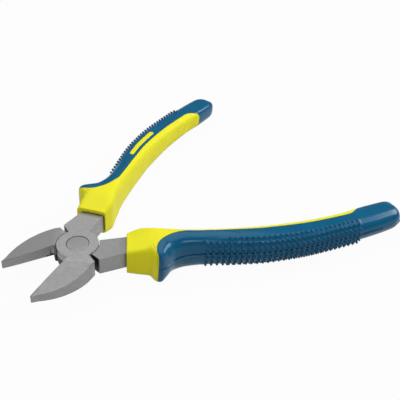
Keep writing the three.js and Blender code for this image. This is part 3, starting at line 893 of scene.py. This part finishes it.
for side in ("right", "left"):
    node = side + "_lever"
    lever = piece(side + "_forging", lever_mesh(node), lever_steel, side + "_arm", node)
    edges = lever.modifiers.new("edges", "BEVEL")
    edges.width = LEVER_ROUNDING * MM
    edges.segments = 3
    edges.limit_method = "ANGLE"
    edges.angle_limit = math.radians(LEVER_EDGE_ANGLE)
    weights = lever.modifiers.new("weights", "WEIGHTED_NORMAL")
    weights.keep_sharp = False


# Rivet
def rivet_mesh():
    """Countersunk rivet with a rolled rim and a faintly domed head."""
    top = MIDDLE_HEIGHT
    upper = [(RIVET_SHANK, 0), (RIVET_SHANK, top - RIVET_SINK), (RIVET_HEAD, top - RIVET_HEAD_EDGE)]
    upper += [(radius, top + rise) for radius, rise in RIVET_RIM + RIVET_DOME]
    lower = [(radius, -height) for radius, height in reversed(upper) if height > 0]
    outline = lower + upper
    points = []
    for radius, height in outline:
        for k in range(RIVET_SIDES):
            angle = 2 * math.pi * k / RIVET_SIDES
            points.append((radius * math.cos(angle), radius * math.sin(angle), height + top))
    faces = grid_faces(len(outline), RIVET_SIDES, True)
    faces.append(tuple(range(RIVET_SIDES)))
    faces.append(tuple(range(len(points) - RIVET_SIDES, len(points))))
    return mesh_from("rivet", np.array(points), faces)


piece("rivet", rivet_mesh(), rivet_steel, "left_arm", "pivot_rivet")

# Floor
floor_height = min(corner[2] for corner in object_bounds()) - FLOOR_CLEARANCE
floor_sides = ((-1, -1), (1, -1), (1, 1), (-1, 1))
floor_corners = [(x * FLOOR_REACH, y * FLOOR_REACH, floor_height) for x, y in floor_sides]
floor_mesh = bpy.data.meshes.new("floor")
floor_mesh.from_pydata(floor_corners, [], [(0, 1, 2, 3)])
floor = bpy.data.objects.new("floor", floor_mesh)
scene.collection.objects.link(floor)
floor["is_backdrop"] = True

# Floor material: nearly white to the camera and in reflections, grey to the light, with the shadow kept
floor_material = bpy.data.materials.new("floor")
floor_material.use_nodes = True
tree = floor_material.node_tree
tree.nodes.clear()
matte = add_node(tree, "ShaderNodeBsdfDiffuse", Color=(FLOOR_GREY, FLOOR_GREY, FLOOR_GREY, 1))
glow = add_node(tree, "ShaderNodeEmission", Color=(1, 1, 1, 1), Strength=1.0)
mix = add_node(tree, "ShaderNodeMixShader")
out = add_node(tree, "ShaderNodeOutputMaterial")
path = add_node(tree, "ShaderNodeLightPath")
seen = math_node(tree, "MAXIMUM", path.outputs["Is Camera Ray"], path.outputs["Is Glossy Ray"])
tree.links.new(math_node(tree, "MULTIPLY", seen, FLOOR_WHITE_SHARE), mix.inputs["Fac"])
tree.links.new(matte.outputs[0], mix.inputs[1])
tree.links.new(glow.outputs[0], mix.inputs[2])
tree.links.new(mix.outputs[0], out.inputs["Surface"])
floor_mesh.materials.append(floor_material)

# World: white to the camera, a weak fill to the object
world = bpy.data.worlds.new("studio")
scene.world = world
world.use_nodes = True
tree = world.node_tree
tree.nodes.clear()
fill = add_node(tree, "ShaderNodeBackground", Color=(1, 1, 1, 1), Strength=FILL_STRENGTH)
white = add_node(tree, "ShaderNodeBackground", Color=(1, 1, 1, 1), Strength=1.0)
mix = add_node(tree, "ShaderNodeMixShader")
out = add_node(tree, "ShaderNodeOutputWorld")
path = add_node(tree, "ShaderNodeLightPath")
tree.links.new(path.outputs["Is Camera Ray"], mix.inputs["Fac"])
tree.links.new(fill.outputs[0], mix.inputs[1])
tree.links.new(white.outputs[0], mix.inputs[2])
tree.links.new(mix.outputs[0], out.inputs["Surface"])


# Lamps
def area_light(name, place, target, size, energy):
    data = bpy.data.lights.new(name, "AREA")
    data.shape = "RECTANGLE"
    data.size, data.size_y = size
    data.energy = energy
    obj = bpy.data.objects.new(name, data)
    scene.collection.objects.link(obj)
    obj.location = place
    obj.rotation_euler = (Vector(target) - Vector(place)).to_track_quat("-Z", "Y").to_euler()


area_light("key", place=(0.1, 0.25, 0.9), target=(0.05, 0, 0), size=(1.2, 1.2), energy=7.5)
area_light("right", place=(0.88, -0.28, 0.55), target=(0.08, 0, 0), size=(0.5, 0.4), energy=5.2)
area_light("left", place=(-0.8, 0.2, 0.35), target=(0, 0, 0), size=(0.7, 0.5), energy=1.1)
area_light("front", place=(-0.03, -0.72, 0.42), target=(0.035, -0.03, 0.01), size=(0.32, 0.075), energy=1.05)

# Camera
camera_data = bpy.data.cameras.new("camera")
camera_data.sensor_fit = "HORIZONTAL"
camera_data.sensor_width = CAMERA_SENSOR
camera_data.lens = CAMERA_LENS
camera_data.clip_start, camera_data.clip_end = CAMERA_CLIP
camera = bpy.data.objects.new("camera", camera_data)
scene.collection.objects.link(camera)
facing = Matrix.Rotation(math.radians(CAMERA_AZIMUTH), 4, "Z")
tilt = Matrix.Rotation(math.radians(90 - CAMERA_ELEVATION), 4, "X")
roll = Matrix.Rotation(math.radians(CAMERA_ROLL), 4, "Z")
camera.matrix_world = Matrix.Translation(CAMERA_PLACE) @ facing @ tilt @ roll
scene.camera = camera
scene.view_settings.view_transform = "Standard"
